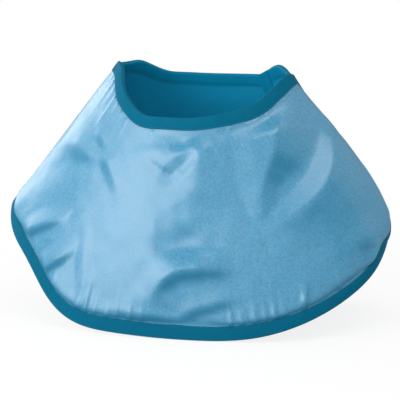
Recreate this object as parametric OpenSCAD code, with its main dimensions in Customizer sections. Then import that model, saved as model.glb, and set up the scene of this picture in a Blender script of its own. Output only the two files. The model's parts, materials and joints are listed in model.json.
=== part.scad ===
// Short radiation shielding cape for dental work: a front panel and a back panel of coated cloth
// over two plies of lead vinyl, bound all round, folding open along the wearer's right shoulder.
// X runs to the wearer's left, Y to the back and Z up.
// The origin is the middle of the neck opening at shoulder height.

/* [Neck opening] */
// Half width of the neck opening at the shoulders
neck_half_w = 120; // [100:1:145]
// Reach of the neck opening in front of the shoulder line
neck_front = 96; // [80:1:116]
// Reach of the neck opening behind the shoulder line
neck_back = 76; // [63:1:92]
// Drop of the neckline at the middle of the front
neck_front_dip = 61; // [50:1:74]
// Drop of the back panel's neckline below the shoulders
neck_back_dip = 20; // [10:1:30]
// Drop of the wrap's neckline at its free corner
wrap_dip = 22; // [10:1:28]
// How much lower the neckline lies on the closing shoulder
shoulder_tilt = 7; // [0:1:10]

/* [Hem] */
// Half width of the hem on the folding side
hem_fold_w = 281; // [234:1:338]
// Half width of the hem on the closing side
hem_close_w = 268; // [224:1:322]
// Reach of the hem in front of the shoulder line
hem_front = 150; // [125:1:180]
// Reach of the hem behind the shoulder line
hem_back = 140; // [116:1:168]
// Drop of the hem at the folding shoulder
fold_drop = 209; // [165:1:238]
// Drop of the hem at the closing shoulder
close_drop = 224; // [182:1:263]
// Drop of the hem at the middle of the front
front_drop = 359; // [299:1:431]
// Drop of the hem at the middle of the back
back_drop = 359; // [299:1:431]

/* [Layers] */
// Thickness of the coated cover cloth
cover_t = 0.6; // [0.4:0.1:0.8]
// Thickness of the lining cloth
lining_t = 0.6; // [0.4:0.1:0.8]
// Thickness of one ply of lead vinyl
ply_t = 1.1; // [0.8:0.1:1.4]
// Slack between the two plies
ply_gap = 0.1; // [0.1:0.1:0.4]
// Slack between a ply and the cloth over it
cloth_gap = 0.4; // [0.4:0.05:0.6]
// How far the plies stop short of the cloth's cut edges
ply_inset = 3; // [2:1:8]

/* [Binding] */
// Finished width of the binding tape on each face of the hem and the free edges
binding_w = 20; // [16:1:24]
// Finished width of the binding tape on each face of the neckline
neck_binding_w = 17; // [14:1:20]
// Thickness of the binding tape
binding_t = 0.8; // [0.5:0.1:1.2]
// Slack between the binding and the cloth inside it
binding_gap = 0.15; // [0.15:0.05:0.3]
// Diameter of the seam thread
thread_d = 0.7; // [0.4:0.1:1]
// Distance of the seam from the binding's inner edge
seam_inset = 2; // [1:0.5:4]

/* [Closure] */
// Angle round the neck at which the front panel's wrap ends
wrap_end = 58; // [50:1:60]
// Angle round the neck at which the back panel starts, over the wrap
back_start = 28; // [22:1:30]
// Width of the hook and loop tapes
tape_w = 25; // [20:1:30]
// Length of the hook and loop tapes
tape_l = 150; // [120:1:180]
// Thickness of each tape
tape_t = 1.2; // [0.8:0.1:1.6]
// Space between the two tapes when the cape is closed
tape_gap = 0.4; // [0.3:0.1:0.8]
// Share of the way down to the tapes' middle
tape_place = 0.63; // [0.6:0.01:0.68]

/* [Folding shoulder] */
// Gap between the two panels along the fold
fold_gap = 0.3; // [0.3:0.1:0.6]
// Clearance of the fold line over the outermost face
fold_clear = 0.3; // [0.3:0.1:0.6]

/* [Drape] */
// How square the hem is in plan, 1 being an ellipse
hem_square = 0.85; // [0.8:0.01:1]
// Roundness of the hem and neckline as they cross the shoulders
shoulder_round = 0.06; // [0.04:0.01:0.2]
// Outward bulge of the closing side
side_bulge = 0.26; // [0:0.01:0.3]
// Outward bulge of the front and back
chest_bulge = 0.14; // [0:0.01:0.2]

/* [Hidden] */

cover_colour = "#93bee0";
lining_colour = "#016589";
binding_colour = "#046a8c";
thread_colour = "#0b7699";
ply_colour = "#5d6468";
tape_colour = "#0a5470";

FRONT = 0;
BACK = 1;

// Half turn from the folding shoulder round the front to the closing shoulder
fold_angle = 180;

// Offsets of each layer's faces from the middle of the cloth
ply_in = ply_gap / 2;
ply_out = ply_in + ply_t;
cloth_in = ply_out + cloth_gap;
cover_out = cloth_in + cover_t;
lining_out = cloth_in + lining_t;
leg_in = max(cover_out, lining_out) + binding_gap;
leg_out = leg_in + binding_t;
thread_lift = 0.1;
thread_out = leg_out + thread_lift + thread_d;

// Tape seats: the facets of a panel fall inside its true curve, away from the loops and towards the hooks
loop_lift = 0.2;
hook_lift = 1.2;
loop_in = cover_out + loop_lift;
loop_out = loop_in + tape_t;
overlap_shift = loop_out + tape_gap + tape_t + hook_lift + lining_out;
hook_out = -lining_out - hook_lift;
hook_in = hook_out - tape_t;

// Binding: its bend lies just past the cut edge, and joints in it are butted
bend_in = 0.1;
bend_out = bend_in + binding_t;
butt_gap = 0.15;

// Angles between which the neckline falls from the shoulder to its dip
wrap_fall = [22, 74];
back_fall = [151, 114];
// Angles over which the back panel steps out over the wrap
shift_fall = [100, 64];
// Angle over which the panels draw back from the fold
fold_blend = 10;

// Neckline and hem cut lower or higher by the middle amount, about the first angle, over the last one
neck_trims = [
    [-164, -12, 13],
    [-121, 8.7, 15],
    [-68, -4, 22],
    [-25, -3, 14],
    [4, 6, 12],
    [38, -6.5, 17],
    [166, 4, 20]
];
hem_trims = [
    [-147, -13, 16],
    [-119, 9, 14],
    [-70, 3, 16],
    [-43, 2, 20],
    [-22, 4, 14],
    [30, -9, 14]
];

// Folds in the cover: angle and share down at each end, height and half width
front_folds = [
    [-83, 0.12, -86, 0.32, 7, 28],
    [-98, 0.42, -96, 0.86, 7, 34],
    [-42, 0.12, -61, 0.46, 6, 20],
    [-57, 0.53, -12, 0.40, 7, 20],
    [-95, 0.78, -80, 0.67, 5, 18],
    [-152, 0.90, -140, 0.68, 4, 18],
    [-136, 0.90, -130, 0.72, 4, 18],
    [-49, 0.84, -44, 0.62, 4, 26]
];
back_folds = [
    [150, 0.20, 143, 0.84, 5, 30],
    [114, 0.18, 123, 0.86, 7, 32],
    [90, 0.25, 96, 0.85, 6, 30]
];
// Millimetres that a degree and the whole drop stand for when a fold is laid out
degree_mm = 3.5;
drop_mm = 300;
// Shares of the drop over which folds fade out at the neck and the hem
fold_fade = [0.08, 0.2, 0.8, 0.93];
// Angles over which folds fade out at the folding side and at the overlap
front_fade = [-178, -165, -8, 5];
back_fade = [72, 88, 165, 178];

// Facets: cells round the front, round the wrap, round the back and down the cloth
front_cells = 24;
wrap_cells = 5;
back_cells = 18;
down_cells = 8;
tape_cells = [3, 6];
// Steps for measuring slopes, in degrees and in shares of the drop
angle_step = 0.1;
share_step = 0.001;

function smooth(from, to, x) =
    let (t = min(max((x - from) / (to - from), 0), 1))
    t * t * (3 - 2 * t);

function soft(s) =
    let (r = shoulder_round)
    (sqrt(s * s + r * r) - r) / (sqrt(1 + r * r) - r);

function sum(list) = list * [for (i = list) 1];

// Neckline of the uncut cloth at an angle round the neck, before its trims
function neck_plan(a) =
    let (s = sin(a))
    [
        neck_half_w * cos(a),
        (s < 0 ? neck_front : neck_back) * s,
        -shoulder_tilt * smooth(-1, 1, cos(a)) - (s < 0 ? neck_front_dip * soft(s) : 0)
    ];

function hem_plan(a) =
    let (
        c = cos(a),
        s = sin(a),
        side = fold_drop + (close_drop - fold_drop) * smooth(-1, 1, c),
        middle = s < 0 ? front_drop : back_drop
    )
    [
        c < 0 ? -hem_fold_w * pow(-c, hem_square) : hem_close_w * pow(c, hem_square),
        (s < 0 ? hem_front : hem_back) * s,
        -side - (middle - side) * soft(s)
    ];

// Turn from one angle to another, the short way round
function turn_to(a, b) = (a - b + 900) % 360 - 180;

function trimmed(trims, a) = sum([for (trim = trims) trim[1] * exp(-pow(turn_to(trim[0], a) / trim[2], 2))]);

function run_down(a) =
    let (run = hem_plan(a) - neck_plan(a))
    run / norm(run);

function neck_point(a) = neck_plan(a) + run_down(a) * trimmed(neck_trims, a);

function hem_point(a) = hem_plan(a) + run_down(a) * trimmed(hem_trims, a);

// Middle of the cloth at an angle and a share of the way down
function cloth(a, v) =
    let (
        n = neck_point(a),
        run = hem_point(a) - n,
        bulge = side_bulge * max(0, cos(a)) + chest_bulge * abs(sin(a)),
        out = v * (1 + bulge * (1 - pow(v, 4)))
    )
    [n.x + run.x * out, n.y + run.y * out, n.z + run.z * v];

function outward(a, v) =
    let (
        round = cloth(a + angle_step, v) - cloth(a - angle_step, v),
        down = cloth(a, v + share_step) - cloth(a, v - share_step),
        n = cross(down, round)
    )
    n / norm(n);

// Millimetres to a degree round the cloth
function degree_run(a, v) = norm(cloth(a + angle_step, v) - cloth(a - angle_step, v)) / (2 * angle_step);

// Share of the drop that the neckline's cut takes away behind the shoulders
function neck_cut(panel, a) =
    let (
        wrap = a > 0 ? wrap_dip * smooth(wrap_fall[0], wrap_fall[1], a) : 0,
        back = neck_back_dip * smooth(back_fall[0], back_fall[1], a)
    )
    (panel == FRONT ? wrap : back) / (neck_point(a).z - hem_point(a).z);

function cut_length(panel, a) = norm(hem_point(a) - neck_point(a)) * (1 - neck_cut(panel, a));

function overlap_step(panel, a) =
    panel == FRONT ? 0 : overlap_shift * smooth(shift_fall[0], shift_fall[1], a);

// Height of one fold at an angle and a share down
function fold_height(fold, a, t) =
    let (
        from = [fold[0] * degree_mm, fold[1] * drop_mm],
        run = [fold[2] * degree_mm, fold[3] * drop_mm] - from,
        at = [a * degree_mm, t * drop_mm] - from,
        along = min(max(at * run / (run * run), 0), 1)
    )
    fold[4] * exp(-pow(norm(at - along * run) / fold[5], 2));

function fold_out(panel, a, t) =
    let (
        folds = panel == FRONT ? front_folds : back_folds,
        fade = panel == FRONT ? front_fade : back_fade,
        across = smooth(fade[0], fade[1], a) * smooth(fade[3], fade[2], a),
        down = smooth(fold_fade[0], fold_fade[1], t) * smooth(fold_fade[3], fold_fade[2], t)
    )
    across * down * sum([for (fold = folds) fold_height(fold, a, t)]);

// A point of a panel at an angle, a share of its cut length and an offset from the cloth's middle
function at_cloth(panel, a, t, offset) =
    let (
        cut = neck_cut(panel, a),
        v = cut + (1 - cut) * t,
        draw = fold_gap / 2 * smooth(fold_angle - fold_blend, fold_angle, abs(a))
    )
    cloth(a, v) + outward(a, v) * (offset + overlap_step(panel, a)) + [0, panel == FRONT ? -draw : draw, 0];

last_row = down_cells + 2;

function last_column(panel) = panel == FRONT ? front_cells + wrap_cells + 1 : back_cells + 1;

// Angle a distance in from a panel's free edge
function free_angle(panel, distance, v) =
    panel == FRONT ? wrap_end - distance / degree_run(wrap_end, v)
        : back_start + distance / degree_run(back_start, v);

// Angle of a column of facets: the one beside a free edge lies one binding width from it
function column(panel, i, v, inset) =
    let (
        seam = free_angle(panel, binding_w, v),
        wrap = i - front_cells
    )
    panel == BACK && i > 0 ? seam + (fold_angle - seam) * (i - 1) / back_cells
        : panel == FRONT && wrap < 0 ? fold_angle * wrap / front_cells
        : panel == FRONT && wrap <= wrap_cells ? seam * wrap / wrap_cells
        : free_angle(panel, inset, v);

// Share of a cut length at a row of facets: the outer rows lie one binding width from the edges
function row(j, inset, length) =
    let (
        neck_seam = neck_binding_w / length,
        hem_seam = binding_w / length
    )
    j == 0 ? inset / length
        : j == last_row ? 1 - inset / length
        : neck_seam + (1 - neck_seam - hem_seam) * (j - 1) / down_cells;

function cell_place(panel, i, j, inset) =
    let (
        near = column(panel, i, 0.5, inset),
        share = row(j, inset, cut_length(panel, near)),
        a = column(panel, i, share, inset)
    )
    [a, row(j, inset, cut_length(panel, a))];

// Columns of places, each an angle and a share, that a layer's facets span
function layer_grid(panel, inset) =
    [for (i = [0:last_column(panel)]) [for (j = [0:last_row]) cell_place(panel, i, j, inset)]];

// Faces of a sheet between two like grids of points, the outer one first
function sheet_faces(columns, rows) =
    let (
        size = columns * rows,
        quad = function (p, q, r, s) [[p, q, r], [p, r, s]],
        out = function (i, j) i * rows + j,
        in = function (i, j) size + i * rows + j,
        right = columns - 1,
        foot = rows - 1,
        skins = [
            for (i = [0:right - 1])
            for (j = [0:foot - 1])
            each concat(
                quad(out(i, j), out(i + 1, j), out(i + 1, j + 1), out(i, j + 1)),
                quad(in(i, j), in(i, j + 1), in(i + 1, j + 1), in(i + 1, j))
            )
        ],
        rims = [
            for (i = [0:right - 1])
            each concat(
                quad(out(i + 1, 0), out(i, 0), in(i, 0), in(i + 1, 0)),
                quad(out(i, foot), out(i + 1, foot), in(i + 1, foot), in(i, foot))
            )
        ],
        sides = [
            for (j = [0:foot - 1])
            each concat(
                quad(out(0, j), out(0, j + 1), in(0, j + 1), in(0, j)),
                quad(out(right, j + 1), out(right, j), in(right, j), in(right, j + 1))
            )
        ]
    )
    concat(skins, rims, sides);

// A layer of cloth or vinyl between two offsets from the middle
module layer(panel, inner, outer, inset, folded) {
    grid = layer_grid(panel, inset);
    lift = function (q) folded ? fold_out(panel, q[0], q[1]) : 0;
    points = [
        for (offset = [outer, inner])
        for (line = grid)
        for (q = line)
        at_cloth(panel, q[0], q[1], offset + lift(q))
    ];
    polyhedron(points, sheet_faces(len(grid), len(grid[0])), convexity = 10);
}

// A closed strip through like rings of points, with the given triangles as its ends
// Sides listed as crossed are split along their other diagonal, to lie flat on the cloth's facets
module strip(rings, ends, crossed) {
    count = len(rings[0]);
    last = (len(rings) - 1) * count;
    split = function (p, q, cross) cross ? [[p, q, p + count], [q, q + count, p + count]]
        : [[p, q, q + count], [p, q + count, p + count]];
    sides = [
        for (i = [0:len(rings) - 2])
        for (k = [0:count - 1])
        each split(i * count + k, i * count + (k + 1) % count, len(search(k, crossed)) > 0)
    ];
    caps = [for (e = ends) each [[e[2], e[1], e[0]], [last + e[0], last + e[1], last + e[2]]]];
    polyhedron([for (ring = rings) each ring], concat(sides, caps), convexity = 10);
}

// Ends of a folded tape's section and of a thread's section
tape_ends = [[0, 1, 6], [0, 6, 7], [1, 2, 5], [1, 5, 6], [2, 3, 4], [2, 4, 5]];
// Sides of a folded tape's section that run from its tip to its bend, and from its bend to its tip
tip_to_bend = [0, 4];
bend_to_tip = [2, 6];
thread_ends = [[0, 1, 2], [0, 2, 3]];

// Section of a binding, from its tip places to its bend just past the cut edge
function binding_ring(panel, tip, inner_bend, outer_bend) = [
    at_cloth(panel, tip[0], tip[1], leg_out),
    at_cloth(panel, outer_bend[0], outer_bend[1], leg_out),
    at_cloth(panel, outer_bend[0], outer_bend[1], -leg_out),
    at_cloth(panel, tip[0], tip[1], -leg_out),
    at_cloth(panel, tip[0], tip[1], -leg_in),
    at_cloth(panel, inner_bend[0], inner_bend[1], -leg_in),
    at_cloth(panel, inner_bend[0], inner_bend[1], leg_in),
    at_cloth(panel, tip[0], tip[1], leg_in)
];

// Section of a thread lying on the binding, between a place nearer the seam and one nearer the edge
function thread_ring(panel, inner, outer) =
    let (
        foot = leg_out + thread_lift,
        middle = (inner + outer) / 2
    )
    [
        at_cloth(panel, inner[0], inner[1], foot + thread_d / 2),
        at_cloth(panel, middle[0], middle[1], foot + thread_d),
        at_cloth(panel, outer[0], outer[1], foot + thread_d / 2),
        at_cloth(panel, middle[0], middle[1], foot)
    ];

function turned(list) = [for (i = [len(list) - 1:-1:0]) list[i]];

// Columns that the neck and hem bindings span, clear of the binding on the free edge
function bound_columns(panel) = panel == FRONT ? [0:last_column(FRONT) - 1] : [1:last_column(BACK)];

function tape_width(hem) = hem ? binding_w : neck_binding_w;

// A place a distance in from the neckline or the hem, on the line between two rows of a column
function from_edge(panel, edge, seam, distance, hem) =
    let (
        a = edge[0] + (seam[0] - edge[0]) * distance / tape_width(hem),
        t = distance / cut_length(panel, a)
    )
    [a, hem ? 1 - t : t];

module edge_tape(panel, hem) {
    grid = layer_grid(panel, 0);
    rings = [
        for (i = bound_columns(panel))
        let (edge = grid[i][hem ? last_row : 0], seam = grid[i][hem ? last_row - 1 : 1])
        binding_ring(panel, seam, from_edge(panel, edge, edge, -bend_in, hem),
            from_edge(panel, edge, edge, -bend_out, hem))
    ];
    strip(hem ? turned(rings) : rings, tape_ends, tip_to_bend);
}

module edge_seam(panel, hem) {
    grid = layer_grid(panel, 0);
    middle = tape_width(hem) - seam_inset;
    rings = [
        for (i = bound_columns(panel))
        let (edge = grid[i][hem ? last_row : 0], seam = grid[i][hem ? last_row - 1 : 1])
        thread_ring(panel, from_edge(panel, edge, seam, middle + thread_d / 2, hem),
            from_edge(panel, edge, seam, middle - thread_d / 2, hem))
    ];
    strip(hem ? turned(rings) : rings, thread_ends, []);
}

// A place a distance in from a panel's free edge, at a share of its length
function from_free_edge(panel, t, distance) = [free_angle(panel, distance, t), t];

// Shares down a free edge, the first and last one just past the neckline and the hem
function free_rows(panel) =
    let (length = cut_length(panel, panel == FRONT ? wrap_end : back_start))
    [for (j = [0:last_row]) row(j, -bend_out, length)];

module free_tape(panel) {
    rings = [
        for (t = free_rows(panel))
        binding_ring(panel, from_free_edge(panel, t, binding_w - butt_gap),
            from_free_edge(panel, t, -bend_in), from_free_edge(panel, t, -bend_out))
    ];
    strip(panel == FRONT ? rings : turned(rings), tape_ends, bend_to_tip);
}

module free_seam(panel) {
    middle = binding_w - seam_inset;
    rings = [
        for (t = free_rows(panel))
        thread_ring(panel, from_free_edge(panel, t, middle + thread_d / 2),
            from_free_edge(panel, t, middle - thread_d / 2))
    ];
    strip(panel == FRONT ? rings : turned(rings), thread_ends, []);
}

// A closure tape in the middle of the overlap
module closure_tape(panel, inner, outer) {
    middle = (wrap_end + back_start) / 2;
    run = norm(hem_point(middle) - neck_point(middle));
    points = [
        for (offset = [outer, inner])
        for (i = [0:tape_cells[0]])
        for (j = [0:tape_cells[1]])
        let (
            v = tape_place + tape_l * (j / tape_cells[1] - 0.5) / run,
            a = middle + tape_w * (i / tape_cells[0] - 0.5) / degree_run(middle, v),
            cut = neck_cut(panel, a)
        )
        at_cloth(panel, a, (v - cut) / (1 - cut), offset)
    ];
    polyhedron(points, sheet_faces(tape_cells[0] + 1, tape_cells[1] + 1), convexity = 10);
}

module front_cover() {
    color(cover_colour) layer(FRONT, cloth_in, cover_out, 0, true);
}

module front_shield_outer() {
    color(ply_colour) layer(FRONT, ply_in, ply_out, ply_inset, false);
}

module front_shield_inner() {
    color(ply_colour) layer(FRONT, -ply_out, -ply_in, ply_inset, false);
}

module front_lining() {
    color(lining_colour) layer(FRONT, -lining_out, -cloth_in, 0, false);
}

module front_neck_binding() {
    color(binding_colour) edge_tape(FRONT, false);
}

module front_hem_binding() {
    color(binding_colour) edge_tape(FRONT, true);
}

module front_edge_binding() {
    color(binding_colour) free_tape(FRONT);
}

module front_neck_thread() {
    color(thread_colour) edge_seam(FRONT, false);
}

module front_hem_thread() {
    color(thread_colour) edge_seam(FRONT, true);
}

module front_edge_thread() {
    color(thread_colour) free_seam(FRONT);
}

module loop_tape() {
    color(tape_colour) closure_tape(FRONT, loop_in, loop_out);
}

module back_cover() {
    color(cover_colour) layer(BACK, cloth_in, cover_out, 0, true);
}

module back_shield_outer() {
    color(ply_colour) layer(BACK, ply_in, ply_out, ply_inset, false);
}

module back_shield_inner() {
    color(ply_colour) layer(BACK, -ply_out, -ply_in, ply_inset, false);
}

module back_lining() {
    color(lining_colour) layer(BACK, -lining_out, -cloth_in, 0, false);
}

module back_neck_binding() {
    color(binding_colour) edge_tape(BACK, false);
}

module back_hem_binding() {
    color(binding_colour) edge_tape(BACK, true);
}

module back_edge_binding() {
    color(binding_colour) free_tape(BACK);
}

module back_neck_thread() {
    color(thread_colour) edge_seam(BACK, false);
}

module back_hem_thread() {
    color(thread_colour) edge_seam(BACK, true);
}

module back_edge_thread() {
    color(thread_colour) free_seam(BACK);
}

module hook_tape() {
    color(tape_colour) closure_tape(BACK, hook_in, hook_out);
}

// The fold line: a point on it and its direction, for setting the joint
fold_run = hem_point(fold_angle) - neck_point(fold_angle);
fold_line = neck_point(fold_angle) + outward(fold_angle, 0) * (thread_out + fold_clear);
echo(fold_line = fold_line, fold_direction = fold_run / norm(fold_run));

front_cover();
front_shield_outer();
front_shield_inner();
front_lining();
front_neck_binding();
front_hem_binding();
front_edge_binding();
front_neck_thread();
front_hem_thread();
front_edge_thread();
loop_tape();
back_cover();
back_shield_outer();
back_shield_inner();
back_lining();
back_neck_binding();
back_hem_binding();
back_edge_binding();
back_neck_thread();
back_hem_thread();
back_edge_thread();
hook_tape();
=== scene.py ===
import json
import math

import bpy
import numpy as np
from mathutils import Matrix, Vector, noise


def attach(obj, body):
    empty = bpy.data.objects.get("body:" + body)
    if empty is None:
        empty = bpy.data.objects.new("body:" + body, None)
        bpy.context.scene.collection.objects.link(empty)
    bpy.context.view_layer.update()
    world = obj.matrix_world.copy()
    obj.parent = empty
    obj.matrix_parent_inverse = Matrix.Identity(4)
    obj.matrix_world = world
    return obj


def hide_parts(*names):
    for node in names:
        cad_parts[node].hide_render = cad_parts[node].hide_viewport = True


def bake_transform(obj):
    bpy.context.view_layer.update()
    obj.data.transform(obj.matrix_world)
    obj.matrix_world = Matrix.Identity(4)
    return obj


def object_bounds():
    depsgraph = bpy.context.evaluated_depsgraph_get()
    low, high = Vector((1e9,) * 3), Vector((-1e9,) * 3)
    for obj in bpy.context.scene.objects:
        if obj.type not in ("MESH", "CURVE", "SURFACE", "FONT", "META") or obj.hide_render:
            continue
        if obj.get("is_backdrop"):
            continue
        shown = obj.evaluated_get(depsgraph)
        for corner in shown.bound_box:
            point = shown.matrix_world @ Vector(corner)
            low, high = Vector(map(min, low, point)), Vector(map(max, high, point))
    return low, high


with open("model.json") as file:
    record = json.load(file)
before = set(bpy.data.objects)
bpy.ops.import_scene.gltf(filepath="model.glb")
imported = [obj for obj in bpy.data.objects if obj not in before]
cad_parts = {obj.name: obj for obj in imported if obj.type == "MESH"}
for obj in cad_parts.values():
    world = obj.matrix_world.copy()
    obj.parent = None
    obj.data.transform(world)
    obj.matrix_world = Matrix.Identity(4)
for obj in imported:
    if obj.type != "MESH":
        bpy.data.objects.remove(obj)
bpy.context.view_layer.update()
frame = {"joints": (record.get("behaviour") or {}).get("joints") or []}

# The cape's cut and drape, in metres and degrees, as the construction has them.
# X runs to the closing shoulder, Y to the back and Z up. Angles go round the neck from the closing shoulder:
# -90 is the middle of the front, 90 the middle of the back and 180 the folding shoulder.
neck_half_w = 0.120
neck_front = 0.096
neck_back = 0.076
neck_front_dip = 0.061
neck_back_dip = 0.020
wrap_dip = 0.022
shoulder_tilt = 0.007
hem_fold_w = 0.281
hem_close_w = 0.268
hem_front = 0.150
hem_back = 0.140
fold_drop = 0.209
close_drop = 0.224
front_drop = 0.359
back_drop = 0.359
hem_square = 0.85
shoulder_round = 0.06
side_bulge = 0.26
chest_bulge = 0.14
# Neckline and hem cut lower or higher: angle, amount and spread
neck_trims = [(-164, -0.012, 13), (166, 0.004, 20), (-121, 0.0087, 15), (-68, -0.004, 22), (-25, -0.003, 14),
              (4, 0.006, 12), (38, -0.0065, 17)]
hem_trims = [(-147, -0.013, 16), (-119, 0.009, 14), (-70, 0.003, 16), (-43, 0.002, 20), (-22, 0.004, 14),
             (30, -0.009, 14)]
# Angles between which the wrap's and the back's necklines fall, and the back panel steps out over the wrap
wrap_fall = (22, 74)
back_fall = (151, 114)
shift_fall = (100, 64)
# Angles of the two free edges
wrap_end = 58
back_start = 28
# Angle behind the folding shoulder where the front pieces pass into the back ones
shoulder_seam = 165

# Layers, as offsets from the middle of the cloth
ply_in = 0.00005
ply_out = 0.00115
cloth_in = 0.00155
cloth_out = 0.00215
leg_in = 0.0023
leg_out = 0.0031
ply_inset = 0.003
overlap_shift = 0.0085

# Binding tape and its seam
binding_w = 0.020
neck_binding_w = 0.017
seam_inset = 0.002
bend_reach = 0.0011
butt_gap = 0.00015
thread_d = 0.0007
stitch_l = 0.0032
stitch_pitch = 0.0042

# Closure tapes: their size, their share of the way down, their feet and the ground under the hooks and loops
tape_w = 0.025
tape_l = 0.150
tape_place = 0.63
loop_in = 0.00235
hook_out = -0.00335
tape_ground = 0.0005
hook_pitch = 0.0018

FRONT, BACK = "front", "back"
# Columns and rows of the covers' meshes, and of those of the layers under them
cover_columns = {FRONT: 530, BACK: 280}
cover_rows = 84
layer_columns = {FRONT: 170, BACK: 96}
layer_rows = 40

span = {FRONT: (shoulder_seam - 360, wrap_end), BACK: (back_start, shoulder_seam)}
tape_width = {"neck": neck_binding_w, "hem": binding_w, "edge": binding_w}


# Shape of the cloth

def smooth(start, end, x):
    t = np.clip((x - start) / (end - start), 0, 1)
    return t * t * (3 - 2 * t)


def soft(s):
    r = shoulder_round
    return (np.sqrt(s * s + r * r) - r) / (math.sqrt(1 + r * r) - r)


def neck_plan(a):
    c, s = np.cos(np.radians(a)), np.sin(np.radians(a))
    x = neck_half_w * c
    y = np.where(s < 0, neck_front, neck_back) * s
    z = -shoulder_tilt * smooth(-1, 1, c) - np.where(s < 0, neck_front_dip * soft(s), 0)
    return np.stack([x, y, z], -1)


def hem_plan(a):
    c, s = np.cos(np.radians(a)), np.sin(np.radians(a))
    side = fold_drop + (close_drop - fold_drop) * smooth(-1, 1, c)
    middle = np.where(s < 0, front_drop, back_drop)
    x = np.where(c < 0, -hem_fold_w, hem_close_w) * np.abs(c) ** hem_square
    y = np.where(s < 0, hem_front, hem_back) * s
    return np.stack([x, y, -side - (middle - side) * soft(s)], -1)


def trimmed(trims, a):
    """How far a cut line moves down the cloth at an angle."""
    run = hem_plan(a) - neck_plan(a)
    trim = sum(amount * np.exp(-(((a - at + 180) % 360 - 180) / spread) ** 2) for at, amount, spread in trims)
    return run / np.linalg.norm(run, axis=-1, keepdims=True) * trim[..., None]


def neck_line(a):
    return neck_plan(a) + trimmed(neck_trims, a)


def hem_line(a):
    return hem_plan(a) + trimmed(hem_trims, a)


def cloth(a, v):
    """Middle of the cloth at an angle and a share of the way down."""
    c, s = np.cos(np.radians(a)), np.sin(np.radians(a))
    neck = neck_line(a)
    run = hem_line(a) - neck
    bulge = side_bulge * np.maximum(0, c) + chest_bulge * np.abs(s)
    out = v * (1 + bulge * (1 - v ** 4))
    return neck + run * np.stack([out, out, v], -1)


def outward(a, v):
    around = cloth(a + 0.1, v) - cloth(a - 0.1, v)
    down = cloth(a, v + 0.001) - cloth(a, v - 0.001)
    n = np.cross(down, around)
    return n / np.linalg.norm(n, axis=-1, keepdims=True)


def degree_run(a, v):
    """Metres to a degree round the cloth."""
    return np.linalg.norm(cloth(a + 0.1, v) - cloth(a - 0.1, v), axis=-1) / 0.2


def neck_cut(panel, a):
    """Share of the drop that the neckline's cut takes away behind the shoulders."""
    if panel == FRONT:
        fall = wrap_dip * smooth(*wrap_fall, a)
    else:
        fall = neck_back_dip * smooth(*back_fall, a)
    return fall / (neck_line(a) - hem_line(a))[..., 2]


def cut_length(panel, a):
    return np.linalg.norm(hem_line(a) - neck_line(a), axis=-1) * (1 - neck_cut(panel, a))


def share_down(panel, a, t):
    """Share of the whole drop at a share of a panel's cut length."""
    cut = neck_cut(panel, a)
    return cut + (1 - cut) * t


def noise_at(points, size):
    flat = points.reshape(-1, 3) / size
    return np.array([noise.noise(p) for p in flat]).reshape(points.shape[:-1])


# Height and length of the slow waves that a whole panel hangs in
sway_height = 0.0014
sway_length = 0.09


def sway(a, v):
    """The slow waves of a panel, which grow towards the hem."""
    return sway_height * smooth(0.3, 1, v) * noise_at(cloth(a, np.full_like(a, 0.9)), sway_length)


def on_panel(panel, a, t, offset):
    """Points of a panel at angles, shares of its cut length and offsets from the cloth's middle."""
    a, t, offset = (np.asarray(x, float) for x in np.broadcast_arrays(a, t, offset))
    v = share_down(panel, a, t)
    step = overlap_shift * smooth(*shift_fall, a) if panel == BACK else 0
    return cloth(a, v) + outward(a, v) * (offset + step + sway(a, v))[..., None]


def free_angle(panel, distance, t):
    """Angle a distance in from a panel's free edge."""
    if panel == FRONT:
        return wrap_end - distance / degree_run(np.full_like(t, wrap_end), t)
    return back_start + distance / degree_run(np.full_like(t, back_start), t)


# Folds of the covers. Each has stops along its crest and the crest's roundness in millimetres. A stop is
# an angle, a share down, a height, and the widths of the slopes on the left and right of the way along the
# crest, in millimetres.

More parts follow.
